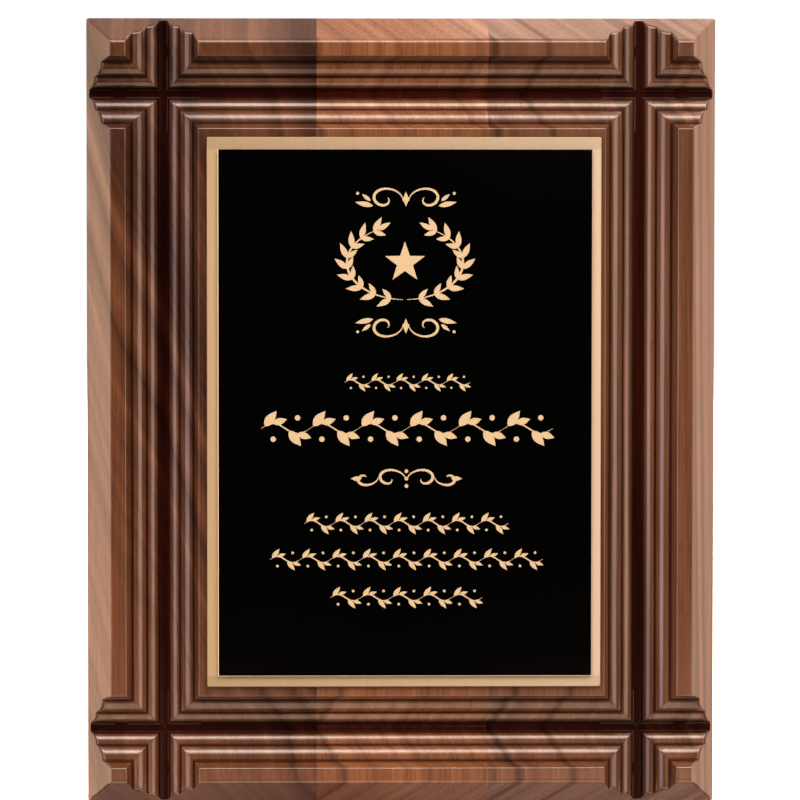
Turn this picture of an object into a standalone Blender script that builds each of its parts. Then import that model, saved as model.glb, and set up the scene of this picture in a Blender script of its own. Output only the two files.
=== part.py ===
"""Award plaque: a walnut board with a moulded border, a brass border plate and a black engraved plate.

Metres, +Z up. The front faces -Y, and the back lies in the plane Y = 0, where the wall is.
The origin is the place in the keyhole hanger where the shank of the wall screw comes to rest.
Every solid is lofted along Y or along a groove, and the grooves and pockets are cut with Booleans.
"""

import math

import bmesh
import bpy
from mathutils import Vector

# The board, and the depth to which its outer edges are bevelled
BOARD_WIDTH = 0.2032
BOARD_HEIGHT = 0.2540
BOARD_THICKNESS = 0.0222
BEVEL_DROP = 0.0100
SIDE_BEVEL = 0.0086
END_BEVEL = 0.0082
BOARD_TOP = 0.0600

# The two glue joints between the board's three upright staves
LEFT_JOINT_X = -0.0273
RIGHT_JOINT_X = 0.0277

# The flat rib between the bevel and the groove, and the groove's width
RIB_WIDTH = 0.0048
GROOVE_WIDTH = 0.0231

# The inner corners down one wall of a groove: (across, depth) from the rib's sharp edge.
# A roll runs from each to the next, and turns through an angle on the way.
GROOVE_CORNERS = ((0.0018, 0.0034), (0.0063, 0.0061), (0.0102, 0.0087))
GROOVE_DEPTH = 0.0088
ROLL_TURN = 78
ROLL_STEPS = 6

# Clearance between pieces that touch or are bonded
GAP = 0.0003

# The brass border plate on its three strips of tape, set a little off the board's centre by hand
BORDER_WIDTH = 0.1257
BORDER_HEIGHT = 0.1755
BORDER_THICKNESS = 0.0005
BORDER_CORNER = 0.0006
BORDER_CENTER = Vector((0.0006, 0.0, 0.0002))
TAPE_THICKNESS = 0.0004
TAPE_WIDTH = 0.0190
TAPE_LENGTH = 0.1650
TAPE_SPACING = 0.0500

# The black engraved plate on its adhesive sheet
ENGRAVED_WIDTH = 0.1191
ENGRAVED_HEIGHT = 0.1679
ENGRAVED_THICKNESS = 0.0005
ENGRAVED_CORNER = 0.0003
ENGRAVED_CENTER = Vector((0.0008, 0.0, 0.0))
ADHESIVE_THICKNESS = 0.0002
ADHESIVE_MARGIN = 0.0020
PLATE_CHAMFER = 0.0002

# The keyhole hanger, let into the back, and its screws above and below the keyhole
HANGER_WIDTH = 0.0160
HANGER_HEIGHT = 0.0500
HANGER_THICKNESS = 0.0015
HANGER_INSET = 0.0002
HANGER_CHAMFER = 0.0002
HANGER_CENTER_Z = -0.0045
KEYHOLE_RADIUS = 0.0046
KEYHOLE_TRAVEL = 0.0090
SLOT_RADIUS = 0.0023
CAVITY_RADIUS = 0.0055
CAVITY_DEPTH = 0.0080
SCREW_SPREAD = 0.0190

# A countersunk wood screw of the hanger
SCREW_HEAD_RADIUS = 0.0028
SCREW_CREST_RADIUS = 0.0014
SCREW_ROOT_RADIUS = 0.0010
SCREW_HEAD_RIM = 0.0002
SCREW_LENGTH = 0.0100
SCREW_TIP = 0.0020
SCREW_TIP_RADIUS = 0.0001
SCREW_PITCH = 0.0011
THREAD_FLANK = 0.00022
SCREW_SINK = 0.0003
RECESS_REACH = 0.0015
RECESS_HALF_WIDTH = 0.0003
RECESS_DEPTH = 0.0010
RECESS_TAPER = 0.55

ROUND_STEPS = 32
CORNER_STEPS = 4
OVERSIZE = 0.0100

# Creases flatter than this are shaded smooth on the turned pieces
SMOOTH_DEGREES = 30

# Each finish: its name, colour, roughness and metallic value
WALNUT_DARK = ("walnut_dark", (0.085, 0.036, 0.016), 0.35, 0.0)
WALNUT_GOLDEN = ("walnut_golden", (0.165, 0.072, 0.026), 0.35, 0.0)
WALNUT_RED = ("walnut_red", (0.130, 0.055, 0.026), 0.35, 0.0)
BRUSHED_GOLD = ("brushed_gold", (0.62, 0.40, 0.18), 0.3, 1.0)
BLACK_LACQUER = ("black_lacquer", (0.004, 0.004, 0.004), 0.25, 0.0)
TAPE_WHITE = ("tape_white", (0.75, 0.74, 0.70), 0.8, 0.0)
ZINC = ("zinc", (0.60, 0.60, 0.62), 0.35, 1.0)


def clear_scene():
    for obj in list(bpy.data.objects):
        bpy.data.objects.remove(obj, do_unlink=True)


def make_material(name, color, roughness, metallic):
    material = bpy.data.materials.new(name)
    material.use_nodes = True
    shader = material.node_tree.nodes["Principled BSDF"]
    shader.inputs["Base Color"].default_value = (*color, 1.0)
    shader.inputs["Roughness"].default_value = roughness
    shader.inputs["Metallic"].default_value = metallic
    material.diffuse_color = (*color, 1.0)
    return material


def add_empty(name, location, parent=None):
    empty = bpy.data.objects.new(name, None)
    empty.location = location
    empty.parent = parent
    bpy.context.scene.collection.objects.link(empty)
    return empty


def loft(name, rings, parent, location=(0, 0, 0)):
    """A closed solid through rings of equal point count, with a flat face on each end."""
    shape = bmesh.new()
    loops = [[shape.verts.new(point) for point in ring] for ring in rings]
    for lower, upper in zip(loops, loops[1:]):
        for i, corner in enumerate(lower):
            j = (i + 1) % len(lower)
            shape.faces.new((corner, lower[j], upper[j], upper[i]))
    shape.faces.new(loops[0])
    shape.faces.new(loops[-1])
    bmesh.ops.recalc_face_normals(shape, faces=shape.faces)
    mesh = bpy.data.meshes.new(name)
    shape.to_mesh(mesh)
    shape.free()
    obj = bpy.data.objects.new(name, mesh)
    obj.location = location
    obj.parent = parent
    bpy.context.scene.collection.objects.link(obj)
    return obj


def finish(obj, material, smooth=False):
    obj.data.materials.append(material)
    if smooth:
        obj.data.shade_smooth()
        obj.data.set_sharp_from_angle(angle=math.radians(SMOOTH_DEGREES))


def as_cutter(obj):
    obj.hide_render = True
    obj.display_type = "WIRE"
    return obj


def combine(obj, operation, other):
    modifier = obj.modifiers.new(other.name, "BOOLEAN")
    modifier.operation = operation
    modifier.object = other


def at_depth(outline, y):
    """An outline of (x, z) points as a ring in the plane of one Y."""
    return [Vector((x, y, z)) for x, z in outline]


def arc(center, radius, start, end, steps):
    """Points on an arc, from one angle in degrees to another, both ends included."""
    angles = [math.radians(start + (end - start) * i / steps) for i in range(steps + 1)]
    return [(center[0] + radius * math.cos(a), center[1] + radius * math.sin(a)) for a in angles]


def circle(radius, center=(0.0, 0.0)):
    return arc(center, radius, 0, 360, ROUND_STEPS)[:-1]


def rectangle(width, height):
    x, z = width / 2, height / 2
    return [(x, z), (-x, z), (-x, -z), (x, -z)]


def rounded_rectangle(width, height, radius, steps=CORNER_STEPS):
    x, z = width / 2 - radius, height / 2 - radius
    points = []
    for quarter, center in enumerate([(x, z), (-x, z), (-x, -z), (x, -z)]):
        points += arc(center, radius, 90 * quarter, 90 * quarter + 90, steps)
    return points


def stadium(radius, low, high):
    """An upright slot outline with round ends, reaching from z = low to z = high."""
    steps = ROUND_STEPS // 2
    return arc((0, high - radius), radius, 0, 180, steps) + arc((0, low + radius), radius, 180, 360, steps)


def keyhole():
    """The round opening below, which narrows to the slot that ends at the origin."""
    half_neck = math.degrees(math.asin(SLOT_RADIUS / KEYHOLE_RADIUS))
    slot_end = arc((0, 0), SLOT_RADIUS, 0, 180, ROUND_STEPS // 2)
    opening = arc((0, -KEYHOLE_TRAVEL), KEYHOLE_RADIUS, 90 + half_neck, 450 - half_neck, ROUND_STEPS)
    return slot_end + opening


def cross(reach, half_width):
    """The plus-shaped outline of a cross recess."""
    corner = [(reach, -half_width), (reach, half_width), (half_width, half_width)]
    turned = []
    for _ in range(4):
        turned += corner
        corner = [(-z, x) for x, z in corner]
    return turned


def half_groove():
    """(across, depth) from the rib's edge to the groove's middle: a steep wall, then two rolls, each
    level at first and then ever steeper along part of an ellipse, and the groove's floor."""
    points = [(0.0, 0.0), GROOVE_CORNERS[0]]
    turn = math.radians(ROLL_TURN)
    for start, end in zip(GROOVE_CORNERS, GROOVE_CORNERS[1:]):
        for i in range(1, ROLL_STEPS + 1):
            angle = turn * i / ROLL_STEPS
            across = start[0] + (end[0] - start[0]) * math.sin(angle) / math.sin(turn)
            depth = start[1] + (end[1] - start[1]) * (1 - math.cos(angle)) / (1 - math.cos(turn))
            points.append((across, depth))
    points.append((GROOVE_WIDTH / 2, GROOVE_DEPTH))
    return points


def groove_outline():
    """A groove's closed section, centred across, with its open side above the board's face."""
    half = half_groove()
    left = [(across - GROOVE_WIDTH / 2, depth) for across, depth in half]
    right = [(-across, depth) for across, depth in reversed(left[:-1])]
    lid = [(right[-1][0], -OVERSIZE), (left[0][0], -OVERSIZE)]
    return left + right + lid


def upright_groove(name, x, parent):
    reach = BOARD_HEIGHT / 2 + OVERSIZE
    rings = [
        [Vector((x + across, depth - BOARD_THICKNESS, z)) for across, depth in groove_outline()]
        for z in (-reach, reach)
    ]
    return as_cutter(loft(name, rings, parent))


def level_groove(name, z, parent):
    reach = BOARD_WIDTH / 2 + OVERSIZE
    rings = [
        [Vector((x, depth - BOARD_THICKNESS, z + across)) for across, depth in groove_outline()]
        for x in (-reach, reach)
    ]
    return as_cutter(loft(name, rings, parent))


def board_blank(parent):
    """The whole board with its bevelled edges, which each stave is cut from."""
    shoulder_y = BEVEL_DROP - BOARD_THICKNESS
    rings = [
        at_depth(rectangle(BOARD_WIDTH, BOARD_HEIGHT), 0.0),
        at_depth(rectangle(BOARD_WIDTH, BOARD_HEIGHT), shoulder_y),
        at_depth(
            rectangle(BOARD_WIDTH - 2 * SIDE_BEVEL, BOARD_HEIGHT - 2 * END_BEVEL),
            -BOARD_THICKNESS,
        ),
    ]
    return as_cutter(loft("cutter_board_blank", rings, parent))


def make_stave(name, low_x, high_x, cutters, material, board):
    """One upright board between two glue joints, cut to the blank and then grooved."""
    high_z = BOARD_HEIGHT / 2 + OVERSIZE
    section = [(low_x, high_z), (high_x, high_z), (high_x, -high_z), (low_x, -high_z)]
    rings = [at_depth(section, y) for y in (OVERSIZE, -BOARD_THICKNESS - OVERSIZE)]
    stave = loft(name, rings, board)
    blank, *hollows = cutters
    combine(stave, "INTERSECT", blank)
    for hollow in hollows:
        combine(stave, "DIFFERENCE", hollow)
    finish(stave, material)


def make_hanger_hollows(parent):
    """The shallow pocket for the hanger, the cavity for the wall screw's head, and two pilot holes."""
    pocket_depth = HANGER_INSET + HANGER_THICKNESS + GAP
    low = HANGER_CENTER_Z - HANGER_HEIGHT / 2 - GAP
    high = HANGER_CENTER_Z + HANGER_HEIGHT / 2 + GAP
    pocket = stadium(HANGER_WIDTH / 2 + GAP, low, high)
    cavity = stadium(CAVITY_RADIUS, -KEYHOLE_TRAVEL - CAVITY_RADIUS, CAVITY_RADIUS)
    hollows = [
        loft("cutter_pocket", [at_depth(pocket, OVERSIZE), at_depth(pocket, -pocket_depth)], parent),
        loft("cutter_cavity", [at_depth(cavity, OVERSIZE), at_depth(cavity, -CAVITY_DEPTH)], parent),
    ]
    pilot = circle(SCREW_CREST_RADIUS + GAP)
    pilot_depth = SCREW_SINK + SCREW_LENGTH + GAP
    for name, z in screw_heights():
        rings = [at_depth(pilot, OVERSIZE), at_depth(pilot, -pilot_depth)]
        hollows.append(loft(f"cutter_pilot_{name}", rings, parent, (0, 0, z)))
    return [as_cutter(hollow) for hollow in hollows]


def screw_heights():
    return (
        ("upper", HANGER_CENTER_Z + SCREW_SPREAD),
        ("lower", HANGER_CENTER_Z - SCREW_SPREAD),
    )


def make_board(board, plaque):
    rib_edge = BOARD_WIDTH / 2 - SIDE_BEVEL - RIB_WIDTH - GROOVE_WIDTH / 2
    rib_end = BOARD_HEIGHT / 2 - END_BEVEL - RIB_WIDTH - GROOVE_WIDTH / 2
    blank = board_blank(board)
    level = [
        level_groove("cutter_groove_top", rib_end, board),
        level_groove("cutter_groove_bottom", -rib_end, board),
    ]
    left_groove = upright_groove("cutter_groove_left", -rib_edge, board)
    right_groove = upright_groove("cutter_groove_right", rib_edge, board)
    hollows = make_hanger_hollows(plaque)
    edge = BOARD_WIDTH / 2 + OVERSIZE
    half_gap = GAP / 2
    make_stave(
        "walnut_stave_left",
        -edge,
        LEFT_JOINT_X - half_gap,
        [blank, left_groove, *level],
        make_material(*WALNUT_DARK),
        board,
    )
    make_stave(
        "walnut_stave_center",
        LEFT_JOINT_X + half_gap,
        RIGHT_JOINT_X - half_gap,
        [blank, *level, *hollows],
        make_material(*WALNUT_GOLDEN),
        board,
    )
    make_stave(
        "walnut_stave_right",
        RIGHT_JOINT_X + half_gap,
        edge,
        [blank, right_groove, *level],
        make_material(*WALNUT_RED),
        board,
    )


def make_sheet(name, size, corner, back_y, thickness, center, board):
    """A flat sheet with softly rounded corners."""
    outline = rounded_rectangle(size[0], size[1], corner)
    rings = [at_depth(outline, y) for y in (0.0, -thickness)]
    return loft(name, rings, board, (center.x, back_y, center.z))


def make_plate(name, size, corner, back_y, thickness, center, board):
    """A metal plate whose front edges are chamfered."""
    outline = rounded_rectangle(size[0], size[1], corner)
    width, height = size[0] - 2 * PLATE_CHAMFER, size[1] - 2 * PLATE_CHAMFER
    inner = rounded_rectangle(width, height, corner - PLATE_CHAMFER)
    rings = [
        at_depth(outline, 0.0),
        at_depth(outline, PLATE_CHAMFER - thickness),
        at_depth(inner, -thickness),
    ]
    return loft(name, rings, board, (center.x, back_y, center.z))


def make_plates(board):
    tape = make_material(*TAPE_WHITE)
    tape_back = -BOARD_THICKNESS - GAP
    for side, shift in (("left", -TAPE_SPACING), ("middle", 0.0), ("right", TAPE_SPACING)):
        center = BORDER_CENTER + Vector((shift, 0.0, 0.0))
        size = (TAPE_WIDTH, TAPE_LENGTH)
        strip = make_sheet(f"border_tape_{side}", size, GAP, tape_back, TAPE_THICKNESS, center, board)
        finish(strip, tape)

    border_back = tape_back - TAPE_THICKNESS - GAP
    size = (BORDER_WIDTH, BORDER_HEIGHT)
    border = make_plate(
        "border_plate", size, BORDER_CORNER, border_back, BORDER_THICKNESS, BORDER_CENTER, board
    )
    finish(border, make_material(*BRUSHED_GOLD))

    adhesive_back = border_back - BORDER_THICKNESS - GAP
    size = (ENGRAVED_WIDTH - 2 * ADHESIVE_MARGIN, ENGRAVED_HEIGHT - 2 * ADHESIVE_MARGIN)
    adhesive = make_sheet(
        "engraved_plate_adhesive", size, GAP, adhesive_back, ADHESIVE_THICKNESS, ENGRAVED_CENTER, board
    )
    finish(adhesive, tape)

    engraved_back = adhesive_back - ADHESIVE_THICKNESS - GAP
    size = (ENGRAVED_WIDTH, ENGRAVED_HEIGHT)
    engraved = make_plate(
        "engraved_plate", size, ENGRAVED_CORNER, engraved_back, ENGRAVED_THICKNESS, ENGRAVED_CENTER, board
    )
    finish(engraved, make_material(*BLACK_LACQUER))


def make_hanger(plaque, zinc):
    """The steel plate that takes the wall screw, pierced by the keyhole and two countersunk holes."""
    low = HANGER_CENTER_Z - HANGER_HEIGHT / 2
    high = HANGER_CENTER_Z + HANGER_HEIGHT / 2
    back, front = -HANGER_INSET, -HANGER_INSET - HANGER_THICKNESS
    outline = stadium(HANGER_WIDTH / 2, low, high)
    rim = stadium(HANGER_WIDTH / 2 - HANGER_CHAMFER, low + HANGER_CHAMFER, high - HANGER_CHAMFER)
    rings = [at_depth(rim, back), at_depth(outline, back - HANGER_CHAMFER), at_depth(outline, front)]
    hanger = loft("keyhole_hanger", rings, plaque)

    opening = [at_depth(keyhole(), OVERSIZE), at_depth(keyhole(), -OVERSIZE)]
    combine(hanger, "DIFFERENCE", as_cutter(loft("cutter_keyhole", opening, plaque)))
    bore = SCREW_CREST_RADIUS + GAP
    mouth = SCREW_HEAD_RADIUS + GAP * math.sqrt(2)
    for name, z in screw_heights():
        profile = (
            (mouth, OVERSIZE),
            (mouth, -SCREW_SINK - SCREW_HEAD_RIM),
            (bore, -SCREW_SINK - SCREW_HEAD_RIM - (mouth - bore)),
            (bore, -OVERSIZE),
        )
        rings = [at_depth(circle(radius), y) for radius, y in profile]
        combine(hanger, "DIFFERENCE", as_cutter(loft(f"cutter_bore_{name}", rings, plaque, (0, 0, z))))
    finish(hanger, zinc, smooth=True)


def make_screw(name, z, plaque, zinc):
    """A countersunk screw with a cross recess, and a ridge for each turn of its thread."""
    cone_end = SCREW_HEAD_RIM + SCREW_HEAD_RADIUS - SCREW_ROOT_RADIUS
    profile = [
        (SCREW_HEAD_RADIUS, 0.0),
        (SCREW_HEAD_RADIUS, SCREW_HEAD_RIM),
        (SCREW_ROOT_RADIUS, cone_end),
    ]
    threaded = SCREW_LENGTH - SCREW_TIP - cone_end
    for turn in range(int(threaded / SCREW_PITCH)):
        crest = cone_end + SCREW_PITCH * (turn + 0.5)
        profile += [
            (SCREW_ROOT_RADIUS, crest - THREAD_FLANK),
            (SCREW_CREST_RADIUS, crest),
            (SCREW_ROOT_RADIUS, crest + THREAD_FLANK),
        ]
    profile += [
        (SCREW_ROOT_RADIUS, SCREW_LENGTH - SCREW_TIP),
        (SCREW_TIP_RADIUS, SCREW_LENGTH),
    ]
    rings = [at_depth(circle(radius), -SCREW_SINK - depth) for radius, depth in profile]
    screw = loft(name, rings, plaque, (0, 0, z))

    wide = cross(RECESS_REACH, RECESS_HALF_WIDTH)
    narrow = cross(RECESS_REACH * RECESS_TAPER, RECESS_HALF_WIDTH * RECESS_TAPER)
    rings = [at_depth(wide, OVERSIZE), at_depth(wide, -SCREW_SINK)]
    rings.append(at_depth(narrow, -SCREW_SINK - RECESS_DEPTH))
    recess = as_cutter(loft(f"cutter_recess_{name}", rings, plaque, (0, 0, z)))
    combine(screw, "DIFFERENCE", recess)
    finish(screw, zinc, smooth=True)


def main():
    clear_scene()
    plaque = add_empty("plaque", (0, 0, 0))
    board = add_empty("board", (0, 0, BOARD_TOP - BOARD_HEIGHT / 2), plaque)
    make_board(board, plaque)
    make_plates(board)
    zinc = make_material(*ZINC)
    make_hanger(plaque, zinc)
    for name, z in screw_heights():
        make_screw(f"hanger_screw_{name}", z, plaque, zinc)


main()
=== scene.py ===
"""The looks of the award plaque: three lacquered walnut staves with a moulded border, a brushed gold
border plate, a black engraved plate, and a keyhole hanger in the back.

Metres, in the CAD frame: +Z up, the front faces -Y, and the back lies in the plane Y = 0.
"""

import math

import bmesh
import bpy
import numpy as np
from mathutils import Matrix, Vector
from mathutils.geometry import delaunay_2d_cdt


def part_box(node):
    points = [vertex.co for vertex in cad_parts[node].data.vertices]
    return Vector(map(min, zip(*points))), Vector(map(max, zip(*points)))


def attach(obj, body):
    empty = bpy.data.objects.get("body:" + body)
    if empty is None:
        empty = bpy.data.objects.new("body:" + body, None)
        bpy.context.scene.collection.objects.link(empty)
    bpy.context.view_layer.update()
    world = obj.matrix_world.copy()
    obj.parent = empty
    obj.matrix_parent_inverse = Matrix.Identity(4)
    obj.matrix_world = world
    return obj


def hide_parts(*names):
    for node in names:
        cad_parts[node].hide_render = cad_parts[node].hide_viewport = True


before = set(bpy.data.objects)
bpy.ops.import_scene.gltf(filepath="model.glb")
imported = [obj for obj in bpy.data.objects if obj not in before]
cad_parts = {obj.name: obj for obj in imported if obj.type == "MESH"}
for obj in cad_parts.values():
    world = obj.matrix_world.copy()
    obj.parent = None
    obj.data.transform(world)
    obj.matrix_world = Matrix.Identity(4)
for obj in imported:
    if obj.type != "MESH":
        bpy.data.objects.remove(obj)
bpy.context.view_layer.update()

# The board's outline, from the outer corners of its staves
BOARD_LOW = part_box("walnut_stave_left")[0]
BOARD_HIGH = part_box("walnut_stave_right")[1]
LEFT_JOINT_X = (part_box("walnut_stave_left")[1].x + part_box("walnut_stave_center")[0].x) / 2
RIGHT_JOINT_X = (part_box("walnut_stave_center")[1].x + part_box("walnut_stave_right")[0].x) / 2
FRONT_Y = BOARD_LOW.y
HALF_WIDTH = (BOARD_HIGH.x - BOARD_LOW.x) / 2
HALF_HEIGHT = (BOARD_HIGH.z - BOARD_LOW.z) / 2
CENTER_Z = (BOARD_HIGH.z + BOARD_LOW.z) / 2

# The border moulding, as in the CAD: bevel, flat rib, and a groove with two rolls down each wall. Each roll
# turns through ROLL_TURN degrees between two of the corners, which are (across, depth) from the rib's edge.
BEVEL_DROP = 0.0100
SIDE_BEVEL = 0.0086
END_BEVEL = 0.0082
RIB_WIDTH = 0.0048
GROOVE_WIDTH = 0.0231
GROOVE_CORNERS = ((0.0018, 0.0034), (0.0063, 0.0061), (0.0102, 0.0087))
GROOVE_DEPTH = 0.0088
ROLL_TURN = 78
ROLL_STEPS = 14
BEVEL_STEPS = 24
LEAST_LEVEL_STEP = 0.000008

# How far the sanded edges are eased, along each of the faces that meet there
ARRIS_EASE = 0.00045
SIDE_EASE = 0.00025
END_EASE = 0.0012
HOLLOW_EASE = 0.00012
SHOULDER_EASE = 0.00035
BACK_EASE = 0.00050
EASE_STEPS = 5

# Where two sections cross on a bevel, the crest is rounded over within this depth. The board's outline is
# rounded at its corners to this radius.
CREST_EASE = 0.0009
CORNER_RADIUS = 0.0007

# How far painted shade reaches out from each inner corner of a groove's wall, and how much of it there is
# where that reach begins on the outermost step
SHADE_REACHES = (0.0009, 0.0009, 0.0020)
STEP_SHADE = 0.2

# Creases over this angle are shaded sharp, and so is the rim of each face that looks this straight back
CREASE_DEGREES = 38
BACK_FACING = 0.999

# The gap between two staves' meshes, too narrow to be seen
GLUE_LINE = 0.000001

# The hollows behind the keyhole hanger, as in the CAD
POCKET_CLEARANCE = 0.0003
CAVITY_RADIUS = 0.0055
CAVITY_DEPTH = 0.0080
KEYHOLE_TRAVEL = 0.0090
PILOT_RADIUS = 0.0017
PILOT_DEPTH = 0.0106
OVERSIZE = 0.0100
ROUND_STEPS = 48

# The engraved plate: a softened edge, and shallow pockets that hold the bright engraving just clear of
# their floors
PLATE_EASE = 0.00020
ENGRAVING_SINK = 0.00003
ENGRAVING_DEPTH = 0.00006
FLOOR_GAP = 0.00001
MERGE_DISTANCE = 0.00000001

# The ornaments on it: kind, then x and z from the plate's middle, width and height
ORNAMENTS = (
    ("flourish", 0.0003, 0.0682, 0.0327, 0.0080),
    ("wreath", 0.0000, 0.0480, 0.0440, 0.0280),
    ("flourish", 0.0003, 0.0278, 0.0327, -0.0080),
    ("vine", 0.0008, 0.0099, 0.0400, 0.0052),
    ("garland", 0.0007, -0.0048, 0.0930, 0.0100),
    ("scrolls", 0.0005, -0.0208, 0.0355, 0.0086),
    ("vine", 0.0005, -0.0351, 0.0650, 0.0062),
    ("vine", 0.0005, -0.0466, 0.0870, 0.0062),
    ("vine", 0.0005, -0.0588, 0.0484, 0.0062),
)

# How finely the ornaments are drawn, and their shared proportions, with angles in degrees
LEAF_STEPS = 10
STROKE_STEPS = 28
STEM_WIDTH = 0.00045
STROKE_TIP = 0.25
WREATH_LEAVES = 9
WREATH_START = -88
WREATH_SWEEP = 150
LEAF_SPREAD = 38
INNER_LEAF = 0.8

# The camera: its place from the middle of the board's front, and where it looks
CAMERA_SHIFT_X = -0.0275
CAMERA_RISE = 0.0399
CAMERA_DISTANCE = 0.718
CAMERA_YAW = 0.51
CAMERA_PITCH = -1.221
CAMERA_LENS = 101.2
SENSOR_WIDTH = 36.0
LENS_SHIFT = (0.08, -0.08)

# The studio: how far off a soft panel stands, the floor's half width, and how much world and floor glow
LIGHT_DISTANCE = 2.5
FLOOR_HALF = 4.0
FLOOR_PAPER = 0.86
FLOOR_GLOW = 0.97
WORLD_GLOW = 0.03

# Growth lines in the staves: place across the rings, half width, and strength. A negative one is pale.
LEFT_STREAKS = (
    (-0.0040, 0.0220, 0.80),
    (-0.0500, 0.0140, 0.50),
    (-0.0760, 0.0150, 0.58),
    (-0.0875, 0.0022, -0.3),
    (-0.0910, 0.0022, 0.4),
    (-0.0960, 0.0040, -0.3),
    (-0.1400, 0.0300, -0.90),
)
CENTER_STREAKS = ((-0.0469, 0.0018, 0.7),)
RIGHT_STREAKS = ((0.0240, 0.0280, -0.6), (0.0093, 0.0025, 0.62), (0.0268, 0.0021, 0.54))

# The staves' woods: three tones, how the rings dip into the board and lean along its height, how wide a
# ring is, the growth lines, and a number that sets one stave's noise apart from another's
WOODS = {
    "left": {
        "name": "walnut_dark",
        "light": (0.058, 0.0225, 0.0100),
        "dark": (0.0215, 0.0082, 0.0038),
        "late": (0.009, 0.004, 0.003),
        "dip": -0.3,
        "lean": 0.4,
        "ring_width": 0.007,
        "streaks": LEFT_STREAKS,
        "seed": 3.1,
    },
    "center": {
        "name": "walnut_golden",
        "light": (0.103, 0.042, 0.0175),
        "dark": (0.059, 0.0225, 0.0095),
        "late": (0.018, 0.008, 0.005),
        "dip": 0.98,
        "lean": 0.037,
        "ring_width": 0.006,
        "streaks": CENTER_STREAKS,
        "seed": 11.7,
    },
    "right": {
        "name": "walnut_red",
        "light": (0.064, 0.0265, 0.0125),
        "dark": (0.033, 0.0135, 0.0065),
        "late": (0.010, 0.0042, 0.003),
        "dip": 0.98,
        "lean": 0.037,
        "ring_width": 0.006,
        "streaks": RIGHT_STREAKS,
        "seed": 23.9,
    },
}

# Where the wood's noises are read, from their low end to their high end, and the largest drift of a ring
TONE_RANGE = (0.37, 0.63)
FIBRE_RANGE = (0.28, 0.72)
RING_DRIFT = 0.002
# What the painted shade in the grooves' inner corners does to the colour
PAINTED_SHADE_TINT = (0.14, 0.05, 0.04)

# How far from the black plate's outline the painted shade on the border plate's end strips begins and ends
SHADE_STRIP_START = -0.0004
SHADE_STRIP_END = 0.0006


# ---------------------------------------------------------------- camera, floor and light


def make_camera():
    data = bpy.data.cameras.new("camera")
    data.sensor_width = SENSOR_WIDTH
    data.lens = CAMERA_LENS
    data.shift_x, data.shift_y = LENS_SHIFT
    camera = bpy.data.objects.new("camera", data)
    camera.location = (CAMERA_SHIFT_X, FRONT_Y - CAMERA_DISTANCE, CENTER_Z + CAMERA_RISE)
    yaw, pitch = math.radians(CAMERA_YAW), math.radians(CAMERA_PITCH)
    ahead = math.cos(pitch)
    look = Vector((math.sin(yaw) * ahead, math.cos(yaw) * ahead, math.sin(pitch)))
    camera.rotation_mode = "QUATERNION"
    camera.rotation_quaternion = look.to_track_quat("-Z", "Y")
    bpy.context.scene.collection.objects.link(camera)
    bpy.context.scene.camera = camera


def softbox(name, azimuth, elevation, size, radiance, color, distance=LIGHT_DISTANCE):
    """A soft panel that faces the board. Azimuth 0 is in front of it, and 90 to the right."""
    data = bpy.data.lights.new(name, "AREA")
    data.shape = "RECTANGLE"
    data.size, data.size_y = size
    data.energy = radiance * math.pi * size[0] * size[1]
    data.color = color
    light = bpy.data.objects.new(name, data)
    turn, rise = math.radians(azimuth), math.radians(elevation)
    away = Vector((math.sin(turn) * math.cos(rise), -math.cos(turn) * math.cos(rise), math.sin(rise)))
    light.location = Vector((0.0, FRONT_Y, CENTER_Z)) + away * distance
    light.rotation_euler = (-away).to_track_quat("-Z", "Y").to_euler()
    light.visible_camera = False
    bpy.context.scene.collection.objects.link(light)


def make_lights():
    """Soft panels round the board: high in front, at both sides, low down, and behind it."""
    softbox("key_top", 0, 47, (5.8, 1.2), 17.5, (1.0, 0.87, 0.77), 4.0)
    softbox("key_soft", 0, 47, (5.8, 2.6), 5.8, (1.0, 0.76, 0.66), 4.0)
    softbox("over_left", -97, 69, (2.3, 2.3), 2.2, (1.0, 0.70, 0.56))
    softbox("over_right", 97, 59, (2.3, 2.3), 5.1, (1.0, 0.73, 0.57))
    softbox("side_left", -43, 8, (1.3, 2.6), 4.8, (0.95, 0.80, 0.86))
    softbox("behind_left", -100, 8, (1.5, 2.6), 5.0, (1.0, 0.65, 0.46))
    softbox("side_right", 43, 8, (1.3, 2.6), 5.2, (1.0, 0.80, 0.68))
    softbox("behind_right", 100, 8, (1.5, 2.6), 3.8, (1.0, 0.65, 0.47))
    softbox("low_front", 0, -54, (1.0, 0.60), 3.4, (1.0, 0.74, 0.56), 0.85)
    softbox("low_left", -6, -15.5, (0.5, 0.2), 2.7, (1.0, 0.58, 0.40))
    softbox("low_right", 11, -15.5, (0.55, 0.2), 3.7, (1.0, 0.60, 0.42))
    softbox("high_right", 11, 8.6, (0.55, 0.2), 1.3, (1.0, 0.66, 0.42))
    softbox("under_left", -97, -62, (2.3, 2.3), 1.2, (1.0, 0.60, 0.46))
    softbox("under_right", 97, -62, (2.3, 2.3), 1.45, (1.0, 0.60, 0.46))
    softbox("back_fill", 180, 25, (2.5, 2.0), 3.0, (1.0, 0.97, 0.94))


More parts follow.
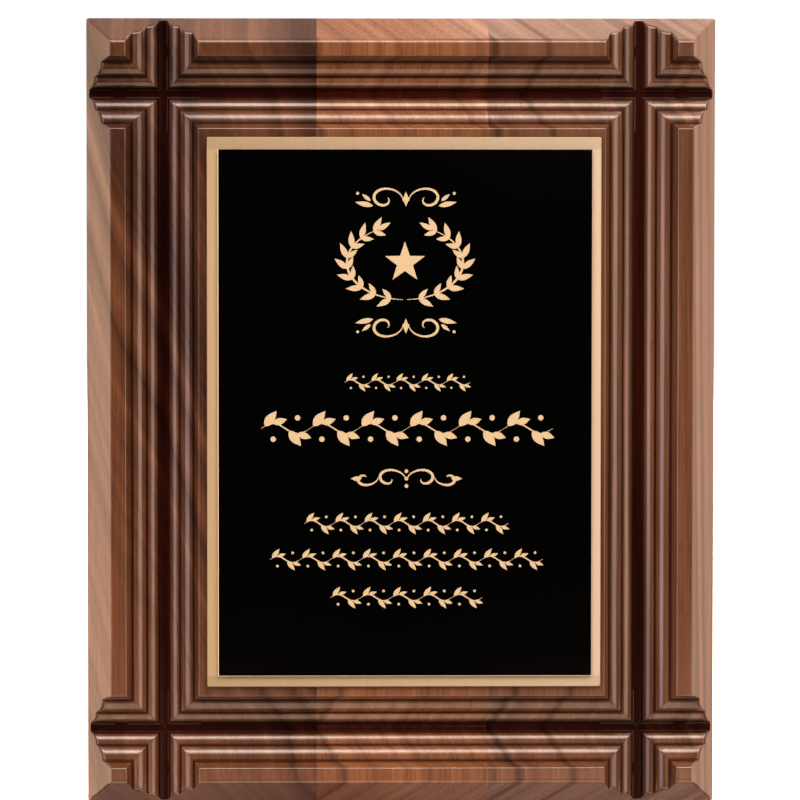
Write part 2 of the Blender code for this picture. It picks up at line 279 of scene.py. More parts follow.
def make_world():
    """A white background that lights the object only a little."""
    world = bpy.data.worlds.new("studio")
    world.use_nodes = True
    nodes, links = world.node_tree.nodes, world.node_tree.links
    output = nodes["World Output"]
    glow = nodes["Background"]
    glow.inputs["Color"].default_value = (1.0, 1.0, 1.0, 1.0)
    glow.inputs["Strength"].default_value = WORLD_GLOW
    seen = nodes.new("ShaderNodeBackground")
    seen.inputs["Color"].default_value = (1.0, 1.0, 1.0, 1.0)
    path = nodes.new("ShaderNodeLightPath")
    mix = nodes.new("ShaderNodeMixShader")
    links.new(path.outputs["Is Camera Ray"], mix.inputs["Fac"])
    links.new(glow.outputs[0], mix.inputs[1])
    links.new(seen.outputs[0], mix.inputs[2])
    links.new(mix.outputs[0], output.inputs["Surface"])
    bpy.context.scene.world = world


def make_floor():
    """White paper under the board. Only the camera sees it: it neither lights the board nor shades it."""
    mesh = bpy.data.meshes.new("floor")
    corners = [(-FLOOR_HALF, -FLOOR_HALF), (FLOOR_HALF, -FLOOR_HALF)]
    corners += [(FLOOR_HALF, FLOOR_HALF), (-FLOOR_HALF, FLOOR_HALF)]
    mesh.from_pydata([(x, y, BOARD_LOW.z) for x, y in corners], [], [(0, 1, 2, 3)])
    floor = bpy.data.objects.new("floor", mesh)
    material = bpy.data.materials.new("floor_paper")
    material.use_nodes = True
    shader = material.node_tree.nodes["Principled BSDF"]
    shader.inputs["Base Color"].default_value = (FLOOR_PAPER, FLOOR_PAPER, FLOOR_PAPER, 1.0)
    shader.inputs["Roughness"].default_value = 0.9
    shader.inputs["Emission Color"].default_value = (1.0, 1.0, 1.0, 1.0)
    shader.inputs["Emission Strength"].default_value = FLOOR_GLOW
    mesh.materials.append(material)
    floor.visible_diffuse = False
    floor.visible_glossy = False
    floor.visible_shadow = False
    bpy.context.scene.collection.objects.link(floor)


# ---------------------------------------------------------------- node materials


class Shade:
    """One procedural material. Each method adds a node and gives back its output."""

    def __init__(self, name):
        self.material = bpy.data.materials.new(name)
        self.material.use_nodes = True
        self.tree = self.material.node_tree
        self.shader = self.tree.nodes["Principled BSDF"]
        self.place = self.tree.nodes.new("ShaderNodeTexCoord").outputs["Object"]

    def add(self, kind, **settings):
        node = self.tree.nodes.new(kind)
        for key, value in settings.items():
            setattr(node, key, value)
        return node

    def feed(self, socket, value):
        if isinstance(value, bpy.types.NodeSocket):
            self.tree.links.new(value, socket)
        else:
            socket.default_value = value

    def math(self, operation, *values):
        node = self.add("ShaderNodeMath", operation=operation)
        for socket, value in zip(node.inputs, values):
            self.feed(socket, value)
        return node.outputs[0]

    def scaled(self, scale, shift=(0.0, 0.0, 0.0)):
        """The object's coordinates, moved and then scaled along each axis."""
        node = self.add("ShaderNodeVectorMath", operation="MULTIPLY_ADD")
        self.feed(node.inputs[0], self.place)
        node.inputs[1].default_value = scale
        node.inputs[2].default_value = shift
        return node.outputs[0]

    def noise(self, vector, detail=2.0, roughness=0.5):
        node = self.add("ShaderNodeTexNoise")
        self.feed(node.inputs["Vector"], vector)
        node.inputs["Scale"].default_value = 1.0
        node.inputs["Detail"].default_value = detail
        node.inputs["Roughness"].default_value = roughness
        return node.outputs["Fac"]

    def noise_along(self, value, detail, roughness):
        """Noise that changes with one value only."""
        node = self.add("ShaderNodeTexNoise", noise_dimensions="1D")
        self.feed(node.inputs["W"], value)
        node.inputs["Scale"].default_value = 1.0
        node.inputs["Detail"].default_value = detail
        node.inputs["Roughness"].default_value = roughness
        return node.outputs["Fac"]

    def axis(self, name):
        node = self.add("ShaderNodeSeparateXYZ")
        self.feed(node.inputs[0], self.place)
        return node.outputs[name]

    def attribute(self, name):
        return self.add("ShaderNodeAttribute", attribute_name=name).outputs["Fac"]

    def remap(self, value, low, high, to_low=0.0, to_high=1.0, smooth=False):
        kind = "SMOOTHSTEP" if smooth else "LINEAR"
        node = self.add("ShaderNodeMapRange", interpolation_type=kind)
        for socket, number in zip(node.inputs, (value, low, high, to_low, to_high)):
            self.feed(socket, number)
        return node.outputs[0]

    def mix(self, factor, first, second, blend="MIX"):
        node = self.add("ShaderNodeMix", data_type="RGBA", blend_type=blend)
        self.feed(node.inputs[0], factor)
        for socket, value in ((node.inputs[6], first), (node.inputs[7], second)):
            self.feed(socket, (*value, 1.0) if isinstance(value, tuple) else value)
        return node.outputs[2]

    def bump(self, height, distance):
        node = self.add("ShaderNodeBump")
        node.inputs["Strength"].default_value = 1.0
        node.inputs["Distance"].default_value = distance
        self.feed(node.inputs["Height"], height)
        return node.outputs["Normal"]

    def set(self, **values):
        """Sets or links the shader's own inputs, named with underscores."""
        for name, value in values.items():
            self.feed(self.shader.inputs[name.replace("_", " ")], value)


def streak(shade, place, middle, width):
    """1 on a dark growth line, falling smoothly to 0 at its width on each side."""
    away = shade.math("ABSOLUTE", shade.math("SUBTRACT", place, middle))
    return shade.remap(away, 0.0, width, 1.0, 0.0, smooth=True)


def walnut(name, light, dark, late, dip, lean, ring_width, streaks, seed):
    """Lacquered walnut. The growth rings dip into the board, and lean along its height."""
    shade = Shade(name)
    x, y, z = (shade.axis(axis) for axis in "XYZ")
    drift = shade.noise(shade.scaled((9.0, 9.0, 4.0), (seed, 0.0, 0.0)))
    ring = shade.math("MULTIPLY_ADD", y, dip, x)
    ring = shade.math("MULTIPLY_ADD", z, lean, ring)
    ring = shade.math("ADD", shade.remap(drift, 0.0, 1.0, -RING_DRIFT, RING_DRIFT), ring)

    # The grain's noises: the rings, a cloudy change of tone, the fibres along the board, and the pores
    rings = shade.math("MULTIPLY_ADD", ring, 1.0 / ring_width, seed)
    band = shade.noise_along(rings, detail=3.0, roughness=0.6)
    broad = shade.noise(shade.scaled((28.0, 28.0, 7.0), (0.0, seed, 0.0)))
    fibre = shade.noise(shade.scaled((1500.0, 1500.0, 26.0), (seed, 0.0, 0.0)), detail=3.0, roughness=0.6)
    pores = shade.noise(shade.scaled((4200.0, 4200.0, 230.0), (0.0, 0.0, seed)), detail=1.0)

    # Dark wood takes less shine than pale wood, and so does each dark growth line
    tone = shade.math("MULTIPLY_ADD", band, 0.65, shade.math("MULTIPLY", broad, 0.35))
    color = shade.mix(shade.remap(tone, *TONE_RANGE), dark, light)
    gloss = shade.remap(tone, *TONE_RANGE, 0.72, 1.0)
    gloss = shade.math("MULTIPLY", gloss, shade.remap(fibre, *FIBRE_RANGE, 0.88, 1.0))
    for middle, width, strength in streaks:
        line = shade.math("MULTIPLY", streak(shade, ring, middle, width), abs(strength))
        color = shade.mix(line, color, late if strength > 0 else light)
        if strength > 0:
            gloss = shade.math("MULTIPLY", gloss, shade.remap(line, 0.0, 1.0, 1.0, 0.5))
    grain = shade.remap(fibre, *FIBRE_RANGE, 0.72, 1.24)
    grain = shade.math("MULTIPLY", grain, shade.remap(pores, 0.60, 0.70, 1.0, 0.72))
    color = shade.mix(1.0, color, grain, blend="MULTIPLY")

    # Painted shade: the grooves' inner corners are darkened, and their coat's shine is dimmed
    cavity = shade.remap(shade.attribute("cavity"), 0.25, 1.0, 0.0, 1.0, smooth=True)
    color = shade.mix(cavity, color, shade.mix(1.0, color, PAINTED_SHADE_TINT, blend="MULTIPLY"))
    gloss = shade.math("MULTIPLY", gloss, shade.remap(cavity, 0.0, 1.0, 1.0, 0.35))

    height = shade.math("MULTIPLY_ADD", pores, 0.3, fibre)
    shade.set(
        Base_Color=color,
        Roughness=shade.remap(fibre, 0.2, 0.8, 0.42, 0.56),
        Specular_IOR_Level=0.0,
        Coat_Weight=gloss,
        Coat_Roughness=0.15,
        Coat_IOR=1.5,
        Normal=shade.bump(height, distance=0.00002),
        Coat_Normal=shade.bump(height, distance=0.000008),
    )
    return shade.material


def brushed_gold(name):
    """Gold-tone brass with a satin face, brushed along its height; painted sheen to the right, painted
    shade on its ends.
    """
    shade = Shade(name)
    hairs = shade.noise(shade.scaled((9000.0, 9000.0, 24.0)), detail=3.0, roughness=0.6)
    broad = shade.noise(shade.scaled((900.0, 900.0, 8.0)))
    color = shade.mix(shade.remap(hairs, 0.3, 0.7), (0.150, 0.103, 0.044), (0.196, 0.143, 0.069))
    # Painted sheen: the plate's colour grows lighter towards its right
    painted_sheen = shade.remap(shade.axis("X"), -0.08, 0.08)
    color = shade.mix(painted_sheen, color, shade.mix(0.5, color, (0.33, 0.285, 0.235)))
    # Painted shade: the strips across the plate's top and bottom ends are darker
    low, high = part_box("engraved_plate")
    from_middle = shade.math("ABSOLUTE", shade.math("SUBTRACT", shade.axis("Z"), (low.z + high.z) / 2))
    half_height = (high.z - low.z) / 2
    painted_end_shade = shade.remap(from_middle, half_height + SHADE_STRIP_START, half_height + SHADE_STRIP_END, smooth=True)
    color = shade.mix(painted_end_shade, color, shade.mix(1.0, color, (0.79, 0.80, 0.74), blend="MULTIPLY"))
    shade.set(
        Base_Color=color,
        Metallic=0.1,
        Roughness=shade.remap(broad, 0.3, 0.7, 0.50, 0.60),
        Normal=shade.bump(hairs, distance=0.000012),
    )
    return shade.material


def black_lacquer(name):
    """Black lacquer on brass. The brass shows where the plate was cut, along its left and lower edges."""
    shade = Shade(name)
    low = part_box("engraved_plate")[0]
    left_cut = shade.math("LESS_THAN", shade.axis("X"), low.x + PLATE_EASE)
    low_cut = shade.math("LESS_THAN", shade.axis("Z"), low.z + PLATE_EASE)
    cut_edge = shade.math("MAXIMUM", left_cut, low_cut)
    ripple = shade.noise(shade.scaled((160.0, 160.0, 160.0)))
    dust = shade.noise(shade.scaled((3000.0, 3000.0, 3000.0)), detail=1.0)
    black = shade.mix(shade.remap(dust, 0.6, 0.8), (0.0002, 0.0002, 0.0002), (0.001, 0.001, 0.001))
    shade.set(
        Base_Color=shade.mix(cut_edge, black, (0.50, 0.40, 0.25)),
        Roughness=shade.remap(dust, 0.3, 0.8, 0.08, 0.16),
        Specular_IOR_Level=0.07,
        Normal=shade.bump(ripple, distance=0.00001),
    )
    return shade.material


def engraved_brass(name):
    """Brass laid bare by engraving, a little rough."""
    shade = Shade(name)
    cut = shade.noise(shade.scaled((5000.0, 5000.0, 5000.0)))
    shade.set(
        Base_Color=shade.mix(cut, (0.235, 0.18, 0.098), (0.295, 0.235, 0.138)),
        Metallic=0.2,
        Roughness=shade.remap(cut, 0.3, 0.7, 0.5, 0.65),
        Normal=shade.bump(cut, distance=0.00001),
    )
    return shade.material


def tape_film(name):
    """Off-white tape with soft creases."""
    shade = Shade(name)
    crease = shade.noise(shade.scaled((260.0, 260.0, 260.0)), detail=3.0)
    shade.set(
        Base_Color=shade.mix(crease, (0.70, 0.69, 0.64), (0.80, 0.79, 0.75)),
        Roughness=shade.remap(crease, 0.3, 0.7, 0.65, 0.85),
        Normal=shade.bump(crease, distance=0.00003),
    )
    return shade.material


def zinc_plate(name):
    """Bright zinc on steel, with the soft mottle of its passivation."""
    shade = Shade(name)
    mottle = shade.noise(shade.scaled((220.0, 220.0, 220.0)), detail=3.0, roughness=0.6)
    tint = shade.noise(shade.scaled((70.0, 70.0, 70.0), (3.0, 0.0, 0.0)), detail=1.0)
    grit = shade.noise(shade.scaled((4000.0, 4000.0, 1600.0)))
    color = shade.mix(shade.remap(tint, 0.3, 0.7), (0.58, 0.60, 0.62), (0.66, 0.65, 0.60))
    shade.set(
        Base_Color=color,
        Metallic=1.0,
        Roughness=shade.remap(mottle, 0.3, 0.7, 0.26, 0.44),
        Normal=shade.bump(grit, distance=0.000006),
    )
    return shade.material


# ---------------------------------------------------------------- meshes


def new_object(name, mesh):
    obj = bpy.data.objects.new(name, mesh)
    bpy.context.scene.collection.objects.link(obj)
    return obj


def object_from(name, shape):
    """Makes an object of a bmesh, with its faces turned outward, and frees the bmesh."""
    bmesh.ops.recalc_face_normals(shape, faces=shape.faces)
    mesh = bpy.data.meshes.new(name)
    shape.to_mesh(mesh)
    shape.free()
    return new_object(name, mesh)


# ---------------------------------------------------------------- the moulded board


def eased(before, corner, after, reach):
    """A corner of an outline rounded off, starting and ending at one distance from it."""
    before, corner, after = Vector(before), Vector(corner), Vector(after)
    start = corner + (before - corner).normalized() * reach
    end = corner + (after - corner).normalized() * reach
    points = []
    for i in range(EASE_STEPS + 1):
        t = i / EASE_STEPS
        points.append(start * (1 - t) ** 2 + corner * 2 * t * (1 - t) + end * t**2)
    return points


def ease_corners(points, reaches):
    """An outline with some of its corners eased: reaches gives how far, by index."""
    made = []
    for i, point in enumerate(points):
        if i in reaches:
            made += eased(points[i - 1], point, points[i + 1], reaches[i])
        else:
            made.append(Vector(point))
    return made


def groove_half():
    """(across, depth) from the rib's flat to the groove's middle, with every corner eased."""
    points = [(-ARRIS_EASE * 2, 0.0), (0.0, 0.0), GROOVE_CORNERS[0]]
    reaches = {1: ARRIS_EASE, 2: HOLLOW_EASE}
    turn = math.radians(ROLL_TURN)
    for start, end in zip(GROOVE_CORNERS, GROOVE_CORNERS[1:]):
        for i in range(1, ROLL_STEPS + 1):
            angle = turn * i / ROLL_STEPS
            across = start[0] + (end[0] - start[0]) * math.sin(angle) / math.sin(turn)
            depth = start[1] + (end[1] - start[1]) * (1 - math.cos(angle)) / (1 - math.cos(turn))
            to_corner = min(math.dist((across, depth), corner) for corner in (start, end))
            if i == ROLL_STEPS or to_corner >= HOLLOW_EASE:
                points.append((across, depth))
        reaches[len(points) - 1] = HOLLOW_EASE
    points.append((GROOVE_WIDTH / 2, GROOVE_DEPTH))
    return ease_corners(points, reaches)[1:]


def painted_shade_at(across):
    """How much painted shade lies across a groove's wall: 0 on each crest, 1 in each inner corner."""
    corners = [corner[0] for corner in GROOVE_CORNERS]
    places = [0.0, corners[0] - SHADE_REACHES[0], corners[0]]
    values = [0.0, STEP_SHADE, 1.0]
    for start, end, start_reach, end_reach in zip(corners, corners[1:], SHADE_REACHES, SHADE_REACHES[1:]):
        places += [start + start_reach, end - end_reach, end]
        values += [0.0, 0.0, 1.0]
    return float(np.interp(across, places, values))


def bevel_section(width, ease):
    """(across, depth) from the rib's flat, out over the bevel and round onto the board's edge."""
    slope = [(width * i / BEVEL_STEPS, BEVEL_DROP * i / BEVEL_STEPS) for i in range(BEVEL_STEPS + 1)]
    slope = [point for point in slope if point[0] == 0.0 or point[0] > ease]
    points = [(-ease * 2, 0.0), *slope, (width, BEVEL_DROP + SHOULDER_EASE * 2)]
    return ease_corners(points, {1: ease, len(slope): SHOULDER_EASE})[1:-1]


def depth_levels():
    """Every depth at which some section bends. All sections share them, so that mitres meet at points."""
    bevels = bevel_section(SIDE_BEVEL, SIDE_EASE) + bevel_section(END_BEVEL, END_EASE)
    levels = []
    for depth in sorted(depth for _, depth in groove_half() + bevels):
        if not levels or depth - levels[-1] > LEAST_LEVEL_STEP:
            levels.append(depth)
    return levels


def at_levels(section, levels):
    """A section's (across, depth) at each level that it reaches."""
    acrosses, depths = zip(*section)
    reached = [level for level in levels if level <= depths[-1] + LEAST_LEVEL_STEP]
    return list(zip(np.interp(reached, depths, acrosses), reached))


def section_lines(half_size, bevel_width, bevel_ease):
    """Across the whole board: (place, depth, painted shade) at each grid line."""
    levels = depth_levels()
    bevel_start = half_size - bevel_width
    groove_start = bevel_start - RIB_WIDTH
    bevel = at_levels(bevel_section(bevel_width, bevel_ease), levels)
    lines = [(bevel_start + across, depth, 0.0) for across, depth in bevel]
    for across, depth in at_levels(groove_half(), levels):
        # The painted shade at this place on the wall
        cavity = painted_shade_at(across)
        lines.append((groove_start - across, depth, cavity))
        lines.append((groove_start - GROOVE_WIDTH + across, depth, cavity))
    lines += [(-place, depth, cavity) for place, depth, cavity in lines]
    return sorted(lines)


def lines_between(lines, low, high):
    """The grid lines of one stave, with a line on each glue joint. Its outer side has no joint."""
    inner = [line for line in lines if low < line[0] < high]
    first = [(low, 0.0, 0.0)] if low > lines[0][0] else []
    last = [(high, 0.0, 0.0)] if high < lines[-1][0] else []
    return first + inner + last


def crossing_depth(x, z, depth_x, depth_z):
    """The deeper of two crossing sections. The crests where they cross on a bevel are rounded over."""
    deeper, shallower = max(depth_x, depth_z), min(depth_x, depth_z)
    on_bevel = abs(x) > HALF_WIDTH - SIDE_BEVEL or abs(z) > HALF_HEIGHT - END_BEVEL
    reach = min(CREST_EASE, shallower, GROOVE_DEPTH - shallower)
    overlap = reach - (deeper - shallower)
    return deeper + overlap**2 / (4 * reach) if on_bevel and overlap > 0 else deeper


def corner_start(lines, half_size):
    """The first grid line past which an outer corner of the board is rounded."""
    return max(place for place, _, _ in lines if place <= half_size - CORNER_RADIUS)


def rounded_place(x, z, inset, starts):
    """A grid point moved in from the board's outline, with the square corner made round."""
    across, up = abs(x) - starts[0], abs(z) - starts[1]
    reach_x, reach_z = HALF_WIDTH - starts[0], HALF_HEIGHT - starts[1]
    if across > 0 and up > 0:
        u, v = across / reach_x, up / reach_z
        new_x = starts[0] + (reach_x - inset) * u * math.sqrt(1 - v * v / 2)
        new_z = starts[1] + (reach_z - inset) * v * math.sqrt(1 - u * u / 2)
    else:
        new_x = min(abs(x), HALF_WIDTH - inset)
        new_z = min(abs(z), HALF_HEIGHT - inset)
    return math.copysign(new_x, x), math.copysign(new_z, z)


def moulded_stave(name, low_x, high_x):
    """One stave, closed: the moulded front on a grid, and rings from its edge round to the back."""
    columns = section_lines(HALF_WIDTH, SIDE_BEVEL, SIDE_EASE)
    rows = section_lines(HALF_HEIGHT, END_BEVEL, END_EASE)
    starts = (corner_start(columns, HALF_WIDTH), corner_start(rows, HALF_HEIGHT))
    columns = lines_between(columns, low_x, high_x)

    shape = bmesh.new()
    # A layer for the painted shade of each point, darkest in the grooves' inner corners
    cavity = shape.verts.layers.float.new("cavity")

    def add(x, z, inset, y, painted_shade=0.0):
        new_x, new_z = rounded_place(x, z, inset, starts)
        vert = shape.verts.new((new_x, y, new_z + CENTER_Z))
        vert[cavity] = painted_shade
        return vert

    grid = []
    for x, depth_x, painted_shade_x in columns:
        line = []
        for z, depth_z, painted_shade_z in rows:
            # A point takes its painted shade from the deeper of its two sections
            painted_shade = max((depth_x, painted_shade_x), (depth_z, painted_shade_z))[1]
            depth = crossing_depth(x, z, depth_x, depth_z)
            line.append(add(x, z, 0.0, FRONT_Y + depth, painted_shade))
        grid.append(line)

    for i in range(len(columns) - 1):
        range_x = (columns[i][1], columns[i + 1][1])
        fall_x = range_x[1] - range_x[0]
        for j in range(len(rows) - 1):
            range_z = (rows[j][1], rows[j + 1][1])
            fall_z = range_z[1] - range_z[0]
            a, b, c, d = grid[i][j], grid[i + 1][j], grid[i + 1][j + 1], grid[i][j + 1]
            # A cell on a mitre is split along it
            if fall_x == 0 or fall_z == 0 or sorted(range_x) != sorted(range_z):
                shape.faces.new((a, b, c, d))
            elif fall_x * fall_z > 0:
                shape.faces.new((a, b, c))
                shape.faces.new((a, c, d))
            else:
                shape.faces.new((a, b, d))
                shape.faces.new((b, c, d))

    last_i, last_j = len(columns) - 1, len(rows) - 1
    walk = [(i, 0) for i in range(last_i)] + [(last_i, j) for j in range(last_j)]
    walk += [(i, last_j) for i in range(last_i, 0, -1)] + [(0, j) for j in range(last_j, 0, -1)]
    ring = [grid[i][j] for i, j in walk]
    for k in range(EASE_STEPS + 1):
        angle = math.pi / 2 * k / EASE_STEPS
        inset, y = BACK_EASE * (1 - math.cos(angle)), -BACK_EASE * (1 - math.sin(angle))
        following = [add(columns[i][0], rows[j][0], inset, y) for i, j in walk]
        for n, vert in enumerate(ring):
            m = (n + 1) % len(ring)
            shape.faces.new((vert, following[n], following[m], ring[m]))
        ring = following
    shape.faces.new(list(reversed(ring)))
    return object_from(name, shape)


def shade_faces(obj):
    """Smooth shading that keeps flat faces flat, and steep creases and the back's rim sharp."""
    mesh = obj.data
    mesh.shade_smooth()
    mesh.set_sharp_from_angle(angle=math.radians(CREASE_DEGREES))
    for face in mesh.polygons:
        if face.normal.y > BACK_FACING:
            for loop in face.loop_indices:
                mesh.edges[mesh.loops[loop].edge_index].use_edge_sharp = True
    normals = obj.modifiers.new("even_normals", "WEIGHTED_NORMAL")
    normals.keep_sharp = True


def prism(name, outline, back_y, front_y):
    """A straight solid along Y with an (x, z) outline."""
    shape = bmesh.new()
    loops = [[shape.verts.new((x, y, z)) for x, z in outline] for y in (back_y, front_y)]
    for i in range(len(outline)):
        j = (i + 1) % len(outline)
        shape.faces.new((loops[0][i], loops[0][j], loops[1][j], loops[1][i]))
    shape.faces.new(loops[0])
    shape.faces.new(loops[1])
    return object_from(name, shape)


def arc(center, radius, start, end, steps):
    """Points on an arc between two angles in degrees."""
    angles = [math.radians(start + (end - start) * i / steps) for i in range(steps + 1)]
    return [(center[0] + radius * math.cos(a), center[1] + radius * math.sin(a)) for a in angles]


def stadium(radius, low, high):
    """An upright outline with round ends, centred on x = 0."""
    steps = ROUND_STEPS // 2
    return arc((0, high - radius), radius, 0, 180, steps) + arc((0, low + radius), radius, 180, 360, steps)


def cut(obj, cutters):
    """Cuts solids out of an object, and keeps the result as its own mesh."""
    for cutter in cutters:
        modifier = obj.modifiers.new(cutter.name, "BOOLEAN")
        modifier.operation = "DIFFERENCE"
        modifier.object = cutter
    graph = bpy.context.evaluated_depsgraph_get()
    result = bpy.data.meshes.new_from_object(obj.evaluated_get(graph))
    obj.modifiers.clear()
    obj.data = result
    for cutter in cutters:
        bpy.data.objects.remove(cutter)


def hanger_hollows():
    """Cutters for the hanger's pocket, the cavity behind its keyhole, and its screws' pilot holes."""
    low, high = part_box("keyhole_hanger")
    half_width = (high.x - low.x) / 2 + POCKET_CLEARANCE
    pocket = stadium(half_width, low.z - POCKET_CLEARANCE, high.z + POCKET_CLEARANCE)
    cavity = stadium(CAVITY_RADIUS, -KEYHOLE_TRAVEL - CAVITY_RADIUS, CAVITY_RADIUS)
    hollows = [
        prism("pocket", pocket, OVERSIZE, low.y - POCKET_CLEARANCE),
        prism("cavity", cavity, OVERSIZE, -CAVITY_DEPTH),
    ]
    for screw in ("hanger_screw_upper", "hanger_screw_lower"):
        low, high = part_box(screw)
        center = ((low.x + high.x) / 2, (low.z + high.z) / 2)
        outline = arc(center, PILOT_RADIUS, 0, 360, ROUND_STEPS)[:-1]
        hollows.append(prism(f"pilot_{screw}", outline, OVERSIZE, -PILOT_DEPTH))
    return hollows


# ---------------------------------------------------------------- the engraved plate


def turned(outline, x, z, angle):
    """An outline turned about the origin, then moved."""
    cos, sin = math.cos(math.radians(angle)), math.sin(math.radians(angle))
    return [(x + u * cos - v * sin, z + u * sin + v * cos) for u, v in outline]


def mirrored(outlines):
    return [[(-x, z) for x, z in outline] for outline in outlines]


def leaf(x, z, angle, length, width):
    """A pointed leaf that grows from (x, z)."""
    ts = [i / LEAF_STEPS for i in range(LEAF_STEPS)]
    upper = [(length * t, width / 2 * math.sin(math.pi * t**0.8)) for t in ts]
    lower = [(length * (1 - t), -width / 2 * math.sin(math.pi * (1 - t) ** 0.8)) for t in ts]
    return turned(upper + lower, x, z, angle)


def berry(x, z, radius):
    return arc((x, z), radius, 0, 360, 2 * LEAF_STEPS)[:-1]


def stroke(curve, width):
    """A line drawn along a curve (a function of 0 to 1), thickest in its middle and thin at its ends."""
    places = [Vector(curve(i / STROKE_STEPS)) for i in range(STROKE_STEPS + 1)]
    sides = ([], [])
    for i, place in enumerate(places):
        along = (places[min(i + 1, STROKE_STEPS)] - places[max(i - 1, 0)]).normalized()
        half = width / 2 * (STROKE_TIP + (1 - STROKE_TIP) * math.sin(math.pi * i / STROKE_STEPS))
        normal = Vector((-along.y, along.x)) * half
        sides[0].append(tuple(place + normal))
        sides[1].append(tuple(place - normal))
    return sides[0] + sides[1][::-1]


def star(radius):
    """A five-pointed star."""
    points = []
    for i in range(10):
        reach = radius if i % 2 == 0 else radius * 0.4
        angle = math.radians(90 + 36 * i)
        points.append((reach * math.cos(angle), reach * math.sin(angle)))
    return points


def wreath(width, height):
    """Two laurel branches round a star."""
    half_width, half_height = width * 0.42, height * 0.42

    def branch(t):
        angle = math.radians(WREATH_START + WREATH_SWEEP * t)
        return half_width * math.cos(angle), half_height * math.sin(angle)

    side = [stroke(branch, STEM_WIDTH * 1.6)]
    for i in range(WREATH_LEAVES):
        t = (i + 0.7) / WREATH_LEAVES
        (x, z), (next_x, next_z) = branch(t), branch(t + 0.01)
        heading = math.degrees(math.atan2(next_z - z, next_x - x))
        length = height * 0.19
        side.append(leaf(x, z, heading - LEAF_SPREAD, length, length * 0.36))
        side.append(leaf(x, z, heading + LEAF_SPREAD, length * INNER_LEAF, length * 0.30))
    x, z = branch(1.0)
    side.append(leaf(x, z, 150, height * 0.17, height * 0.06))
    return [star(height * 0.24), *side, *mirrored(side)]


def volute(start_x, radius, squash, turns):
    """A stroke that rises from the middle and curls inward."""

    def curve(t):
        angle = math.radians(190 - 360 * turns * t)
        reach = radius * (1 - 0.72 * t)
        return start_x + reach * math.cos(angle) * (1 + squash * (1 - t)), reach * math.sin(angle)

    return stroke(curve, STEM_WIDTH * 2)


def flourish(width, height):
    """A lozenge between two curls, with leaves beyond them. A negative height turns it upside down."""
    radius = abs(height) / 2
    end = width / 2
    side = [
        volute(radius * 1.7, radius, 0.5, 1.1),
        leaf(radius * 2.6, -radius * 0.55, 12, end - radius * 2.6, radius * 0.42),
        leaf(radius * 2.8, -radius * 0.15, 38, radius * 0.9, radius * 0.30),
        berry(end - radius * 0.25, radius * 0.45, radius * 0.12),
    ]
    lozenge = [(0, radius * 0.6), (-radius * 0.25, 0), (0, -radius * 0.6), (radius * 0.25, 0)]
    shapes = [lozenge, *side, *mirrored(side)]
    return [[(x, math.copysign(z, z * height)) for x, z in outline] for outline in shapes]


def scrolls(width, height):
    """Two curls back to back on each side of a row of berries."""
    radius = height / 4
    side = [
        volute(radius * 2.6, radius * 1.6, 0.6, 1.0),
        [(x, -z) for x, z in volute(radius * 6.2, radius * 1.2, 0.7, 0.9)],
        leaf(width / 2 - radius * 1.6, 0, 0, radius * 1.6, radius * 0.7),
    ]
    middle = [berry(0, radius * k, radius * 0.28) for k in (-1.1, 0, 1.1)]
    return [*middle, *side, *mirrored(side)]


def vine(width, height, fullness=1.0):
    """A wavy stem with a leaf in each bend and a berry opposite."""
    bends = 2 * round(width / height / 1.5)
    swing = height * 0.16

    def stem(t):
        return width * (t - 0.5), swing * math.sin(math.pi * bends * t)

    pieces = []
    for i in range(bends):
        t = (i + 0.15) / bends
        up = -1 if i % 2 else 1
        x, z = stem(t)
        pieces.append(leaf(x, z, 52 * up, height * 0.62, height * 0.24 * fullness))
        x, z = stem((i + 0.5) / bends)
        pieces.append(leaf(x, z, 18 * up, height * 0.46, height * 0.18 * fullness))
        pieces.append(berry(x, -0.34 * height * up, height * 0.07 * fullness))
    for i in range(bends // 2):
        pieces.append(stroke(lambda t, start=2 * i: stem((start + 2 * t) / bends), STEM_WIDTH))
    return pieces


def garland(width, height):
    """A vine with fuller leaves."""
    return vine(width, height, 1.25)


def ornament_outlines(middle):
    """The outlines of all the ornaments, in the plate's plane."""
    makers = {
        "flourish": flourish,
        "wreath": wreath,
        "vine": vine,
        "garland": garland,
        "scrolls": scrolls,
    }
    outlines = []
    for kind, x, z, width, height in ORNAMENTS:
        for outline in makers[kind](width, height):
            outlines.append([(middle.x + x + u, middle.z + z + v) for u, v in outline])
    return outlines


def left_handed(outline):
    """The outline with its inside on the left of the way round."""
    area = sum(a[0] * b[1] - b[0] * a[1] for a, b in zip(outline, outline[1:] + outline[:1]))
    return outline if area > 0 else outline[::-1]


def plate_corners(low, high, inset):
    """The four corners of a plate's face, moved in from its edges."""
    left, right = low.x + inset, high.x - inset
    bottom, top = low.z + inset, high.z - inset
    return [(left, bottom), (right, bottom), (right, top), (left, top)]


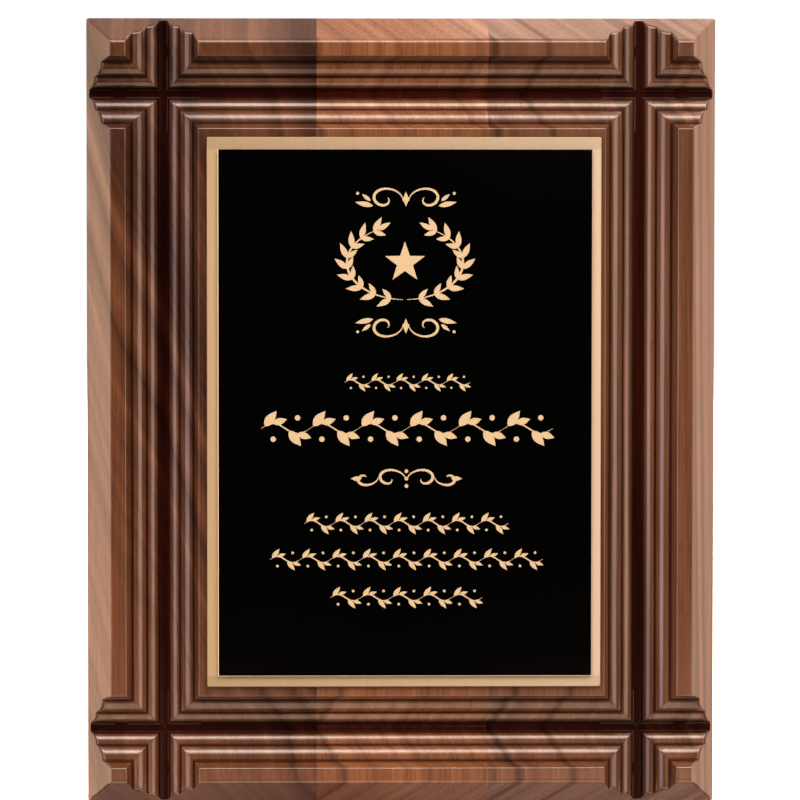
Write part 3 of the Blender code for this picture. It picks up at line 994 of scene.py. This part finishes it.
def engraved_pair():
    """The black plate with a pocket under every ornament, and the bright engraving that lies in them."""
    low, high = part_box("engraved_plate")
    inner, outer = plate_corners(low, high, PLATE_EASE), plate_corners(low, high, 0.0)
    points, faces = list(inner), [[0, 1, 2, 3]]
    for outline in ornament_outlines((low + high) / 2):
        faces.append(list(range(len(points), len(points) + len(outline))))
        points += left_handed(outline)
    flat = [Vector(point) for point in points]
    spots, _, triangles, _, _, owners = delaunay_2d_cdt(flat, [], faces, 1, MERGE_DISTANCE)
    bright = [tri for tri, own in zip(triangles, owners) if max(own) > 0]
    plain = [tri for tri, own in zip(triangles, owners) if max(own) == 0]
    steps = {(tri[k], tri[(k + 1) % 3]) for tri in bright for k in range(3)}
    rims = [(a, b) for a, b in sorted(steps) if (b, a) not in steps]

    # The plate: its face, the pockets' floors and walls, and rings from the eased edge round to the back
    plate = bmesh.new()
    floor_y = low.y + ENGRAVING_DEPTH
    tops = {n: plate.verts.new((spots[n].x, low.y, spots[n].y)) for n in corners_of(plain)}
    floors = {n: plate.verts.new((spots[n].x, floor_y, spots[n].y)) for n in corners_of(bright)}
    add_triangles(plate, plain, tops)
    add_triangles(plate, bright, floors)
    add_walls(plate, rims, tops, floors)
    ring = [tops[nearest(spots, corner)] for corner in inner]
    for y in (low.y + PLATE_EASE, high.y):
        following = [plate.verts.new((x, y, z)) for x, z in outer]
        for n, vert in enumerate(ring):
            m = (n + 1) % 4
            plate.faces.new((vert, following[n], following[m], ring[m]))
        ring = following
    plate.faces.new(ring[::-1])

    # The engraving: a thin sheet over the pockets' floors
    engraving = bmesh.new()
    fronts, backs = {}, {}
    for level, y in ((fronts, low.y + ENGRAVING_SINK), (backs, floor_y - FLOOR_GAP)):
        for n in floors:
            level[n] = engraving.verts.new((spots[n].x, y, spots[n].y))
        add_triangles(engraving, bright, level)
    add_walls(engraving, rims, fronts, backs)
    return object_from("engraved_panel", plate), object_from("engraving", engraving)


def corners_of(triangles):
    """The numbers of all the triangles' corners, each once."""
    return sorted({n for triangle in triangles for n in triangle})


def nearest(spots, place):
    """The number of the spot that lies nearest a place."""
    return min(range(len(spots)), key=lambda n: math.dist(spots[n], place))


def add_triangles(shape, triangles, verts):
    for triangle in triangles:
        shape.faces.new([verts[n] for n in triangle])


def add_walls(shape, rims, front, back):
    for a, b in rims:
        shape.faces.new((front[a], front[b], back[b], back[a]))


# ---------------------------------------------------------------- the pieces


def place_piece(obj, material, slot, *nodes):
    """Gives a piece its material on the plaque's body, in place of the CAD nodes it stands for; its slot is
    not used.
    """
    obj.data.materials.clear()
    obj.data.materials.append(material)
    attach(obj, "root")
    if nodes:
        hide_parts(*nodes)


def make_staves():
    """The three staves, each of its own wood. The outer two have no joint on their outer side."""
    half_line = GLUE_LINE / 2
    spans = {
        "left": (-math.inf, LEFT_JOINT_X - half_line),
        "center": (LEFT_JOINT_X + half_line, RIGHT_JOINT_X - half_line),
        "right": (RIGHT_JOINT_X + half_line, math.inf),
    }
    for side, (low_x, high_x) in spans.items():
        stave = moulded_stave(f"stave_{side}", low_x, high_x)
        if side == "center":
            cut(stave, hanger_hollows())
        shade_faces(stave)
        wood = WOODS[side]
        place_piece(stave, walnut(**wood), wood["name"], f"walnut_stave_{side}")


def carry_over():
    """Gives the CAD nodes that stay their finishes."""
    film, zinc = tape_film("tape"), zinc_plate("zinc")
    finishes = {
        "border_tape_left": film,
        "border_tape_middle": film,
        "border_tape_right": film,
        "engraved_plate_adhesive": film,
        "keyhole_hanger": zinc,
        "hanger_screw_upper": zinc,
        "hanger_screw_lower": zinc,
        "border_plate": brushed_gold("brushed_gold"),
    }
    for name, material in finishes.items():
        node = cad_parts[name]
        node.data.materials.clear()
        node.data.materials.append(material)


def main():
    bpy.context.scene.view_settings.view_transform = "Standard"
    make_camera()
    make_world()
    make_lights()
    make_floor()
    make_staves()
    panel, engraving = engraved_pair()
    place_piece(panel, black_lacquer("black_lacquer"), "black_lacquer", "engraved_plate")
    place_piece(engraving, engraved_brass("engraved_brass"), "brushed_gold")
    carry_over()


main()
